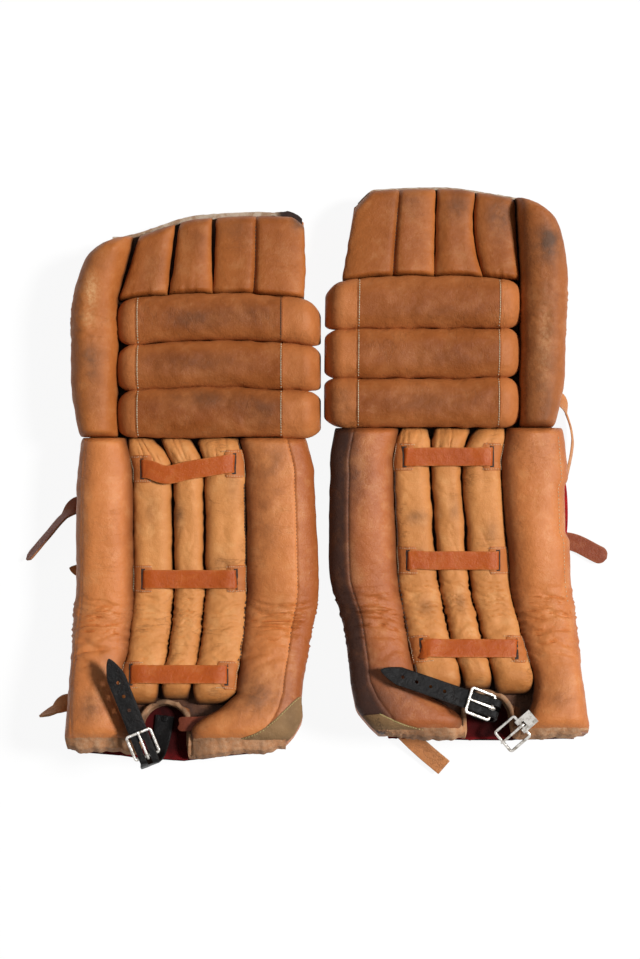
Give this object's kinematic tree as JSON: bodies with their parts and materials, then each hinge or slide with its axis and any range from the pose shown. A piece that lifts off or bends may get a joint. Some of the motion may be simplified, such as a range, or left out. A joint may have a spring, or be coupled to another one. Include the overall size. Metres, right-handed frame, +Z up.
{
  "type": "goalie leg pads",
  "caption": "Old leather hockey goalkeeper leg pads with stuffed knee and shin rolls, a felt-lined leg channel, and straps and buckles at the back and toe, lying face up.",
  "frame": {"origin": "on the ground, at the middle of the box round both pads at rest", "axes": "+Z up from the pads' open backs to their rolled fronts; toes towards -Y, thighs towards +Y; the left pad, seen from above with the toes nearest, at -X"},
  "size_m": [0.8396, 0.8326, 0.1749],
  "materials": {
    "tan_leather": "worn orange-tan horsehide, satin with scuffs",
    "pale_leather": "yellower tan leather of the shin rolls, satin",
    "brown_leather": "browner, darker leather, worn and scuffed",
    "strap_leather": "red-brown strap leather, cut edges, satin",
    "black_leather": "black finished strap leather, slight gloss",
    "red_felt": "dense red wool felt, matt",
    "nickel": "nickel plated steel, bright and a little worn"
  },
  "bodies": {
    "left_shin": {"left_shin_back_panel": "tan_leather", "left_felt_lining": "red_felt", "left_toe_binding": "brown_leather", "left_outer_roll_lower": "tan_leather", "left_inner_roll_lower": "tan_leather", "left_shin_roll_outer": "pale_leather", "left_shin_roll_center": "pale_leather", "left_shin_roll_inner": "pale_leather", "left_front_strap_bottom": "strap_leather", "left_front_strap_middle": "strap_leather", "left_front_strap_top": "strap_leather", "left_toe_tab": "brown_leather"},
    "left_thigh": {"left_thigh_back_panel": "tan_leather", "left_outer_roll_upper": "tan_leather", "left_thigh_roll_outer": "tan_leather", "left_thigh_roll_middle": "tan_leather", "left_thigh_roll_inner": "tan_leather", "left_knee_roll_bottom": "brown_leather", "left_knee_roll_middle": "brown_leather", "left_knee_roll_top": "brown_leather"},
    "left_knee_strap": {"left_knee_strap": "strap_leather"},
    "left_knee_buckle": {"left_knee_buckle": "nickel"},
    "left_calf_strap": {"left_calf_strap": "strap_leather"},
    "left_calf_buckle": {"left_calf_buckle": "nickel"},
    "left_ankle_strap": {"left_ankle_strap": "strap_leather"},
    "left_ankle_buckle": {"left_ankle_buckle": "nickel"},
    "left_toe_strap": {"left_toe_strap": "black_leather"},
    "left_toe_buckle": {"left_toe_buckle": "nickel"},
    "left_toe_buckle_prong": {"left_toe_buckle_prong": "nickel"},
    "right_shin": {"right_shin_back_panel": "tan_leather", "right_felt_lining": "red_felt", "right_toe_binding": "brown_leather", "right_outer_roll_lower": "tan_leather", "right_inner_roll_lower": "tan_leather", "right_shin_roll_outer": "pale_leather", "right_shin_roll_center": "pale_leather", "right_shin_roll_inner": "pale_leather", "right_front_strap_bottom": "strap_leather", "right_front_strap_middle": "strap_leather", "right_front_strap_top": "strap_leather", "right_toe_tab": "nickel"},
    "right_thigh": {"right_thigh_back_panel": "tan_leather", "right_outer_roll_upper": "tan_leather", "right_thigh_roll_outer": "tan_leather", "right_thigh_roll_middle": "tan_leather", "right_thigh_roll_inner": "tan_leather", "right_knee_roll_bottom": "brown_leather", "right_knee_roll_middle": "brown_leather", "right_knee_roll_top": "brown_leather"},
    "right_knee_strap": {"right_knee_strap": "strap_leather"},
    "right_knee_buckle": {"right_knee_buckle": "nickel"},
    "right_calf_strap": {"right_calf_strap": "strap_leather"},
    "right_calf_buckle": {"right_calf_buckle": "nickel"},
    "right_ankle_strap": {"right_ankle_strap": "strap_leather"},
    "right_ankle_buckle": {"right_ankle_buckle": "nickel"},
    "right_toe_strap": {"right_toe_strap": "black_leather"},
    "right_toe_buckle": {"right_toe_buckle": "nickel"},
    "right_toe_buckle_prong": {"right_toe_buckle_prong": "nickel"},
    "right_second_toe_buckle": {"right_second_toe_buckle": "nickel"},
    "right_second_toe_buckle_prong": {"right_second_toe_buckle_prong": "nickel"}
  },
  "joints": [
    {"name": "left_knee_flex", "type": "hinge", "parent": "left_shin", "child": "left_thigh", "pos_m": [-0.16509, 0.06574, 0.056], "axis": [-1, 0, 0], "range_deg": [0, 20]},
    {"name": "left_knee_strap_swing", "type": "hinge", "parent": "left_thigh", "child": "left_knee_strap", "pos_m": [-0.03369, 0.10974, 0.0006], "axis": [0, -1, 0], "range_deg": [0, 90]},
    {"name": "left_knee_buckle_swing", "type": "hinge", "parent": "left_thigh", "child": "left_knee_buckle", "pos_m": [-0.30509, 0.10974, 0.0333], "axis": [0, -1, 0], "range_deg": [0, 70]},
    {"name": "left_calf_strap_swing", "type": "hinge", "parent": "left_shin", "child": "left_calf_strap", "pos_m": [-0.01916, -0.02826, 0.0006], "axis": [0, -1, 0], "range_deg": [0, 90]},
    {"name": "left_calf_buckle_swing", "type": "hinge", "parent": "left_shin", "child": "left_calf_buckle", "pos_m": [-0.30859, -0.02826, 0.0333], "axis": [0, -1, 0], "range_deg": [0, 70]},
    {"name": "left_ankle_strap_swing", "type": "hinge", "parent": "left_shin", "child": "left_ankle_strap", "pos_m": [-0.03754, -0.30692, 0.0563], "axis": [0, -0.9613, 0.2756], "range_deg": [0, 90]},
    {"name": "left_ankle_buckle_swing", "type": "hinge", "parent": "left_shin", "child": "left_ankle_buckle", "pos_m": [-0.32, -0.30358, 0.06795], "axis": [0, -0.9613, 0.2756], "range_deg": [0, 40]},
    {"name": "left_toe_strap_swivel", "type": "hinge", "parent": "left_shin", "child": "left_toe_strap", "pos_m": [-0.20909, -0.32064, 0.08824], "axis": [0, -0.2756, -0.9613], "range_deg": [-10, 6]},
    {"name": "left_toe_buckle_swing", "type": "hinge", "parent": "left_toe_strap", "child": "left_toe_buckle", "pos_m": [-0.22515, -0.36361, 0.16045], "axis": [0.9226, 0.3709, -0.1063], "range_deg": [0, 50]},
    {"name": "left_toe_buckle_prong_lift", "type": "hinge", "parent": "left_toe_buckle", "child": "left_toe_buckle_prong", "pos_m": [-0.22515, -0.36361, 0.16045], "axis": [0.9226, 0.3709, -0.1063], "range_deg": [0, 60]},
    {"name": "pads_apart", "type": "slide", "parent": "left_shin", "child": "right_shin", "axis": [1, 0, 0], "range_m": [0, 0.3]},
    {"name": "right_knee_flex", "type": "hinge", "parent": "right_shin", "child": "right_thigh", "pos_m": [0.18411, 0.07954, 0.056], "axis": [-1, 0, 0], "range_deg": [0, 20]},
    {"name": "right_knee_strap_swing", "type": "hinge", "parent": "right_thigh", "child": "right_knee_strap", "pos_m": [0.05288, 0.12354, 0.0006], "axis": [0, 1, 0], "range_deg": [0, 90]},
    {"name": "right_knee_buckle_swing", "type": "hinge", "parent": "right_thigh", "child": "right_knee_buckle", "pos_m": [0.31321, 0.12354, 0.0333], "axis": [0, 1, 0], "range_deg": [0, 70]},
    {"name": "right_calf_strap_swing", "type": "hinge", "parent": "right_shin", "child": "right_calf_strap", "pos_m": [0.03682, -0.08046, 0.0006], "axis": [0, 1, 0], "range_deg": [0, 90]},
    {"name": "right_calf_buckle_swing", "type": "hinge", "parent": "right_shin", "child": "right_calf_buckle", "pos_m": [0.32966, -0.08046, 0.0333], "axis": [0, 1, 0], "range_deg": [0, 70]},
    {"name": "right_ankle_strap_swing", "type": "hinge", "parent": "right_shin", "child": "right_ankle_strap", "pos_m": [0.06604, -0.29312, 0.0563], "axis": [0, 0.9613, -0.2756], "range_deg": [0, 60]},
    {"name": "right_ankle_buckle_swing", "type": "hinge", "parent": "right_shin", "child": "right_ankle_buckle", "pos_m": [0.34791, -0.28978, 0.06795], "axis": [0, 0.9613, -0.2756], "range_deg": [0, 70]},
    {"name": "right_toe_strap_swivel", "type": "hinge", "parent": "right_shin", "child": "right_toe_strap", "pos_m": [0.22025, -0.31069, 0.08934], "axis": [0, 0.2756, 0.9613], "range_deg": [-8, 5]},
    {"name": "right_toe_buckle_swing", "type": "hinge", "parent": "right_toe_strap", "child": "right_toe_buckle", "pos_m": [0.23815, -0.30145, 0.14748], "axis": [0.3097, 0.914, -0.2621], "range_deg": [0, 50]},
    {"name": "right_toe_buckle_prong_lift", "type": "hinge", "parent": "right_toe_buckle", "child": "right_toe_buckle_prong", "pos_m": [0.23815, -0.30145, 0.14748], "axis": [0.3097, 0.914, -0.2621], "range_deg": [0, 60]},
    {"name": "right_second_toe_buckle_swing", "type": "hinge", "parent": "right_shin", "child": "right_second_toe_buckle", "pos_m": [0.28049, -0.32693, 0.1353], "axis": [-0.6361, 0.7417, -0.2127], "range_deg": [0, 50]},
    {"name": "right_second_toe_buckle_prong_lift", "type": "hinge", "parent": "right_second_toe_buckle", "child": "right_second_toe_buckle_prong", "pos_m": [0.28049, -0.32693, 0.1353], "axis": [-0.6361, 0.7417, -0.2127], "range_deg": [0, 45]}
  ]
}
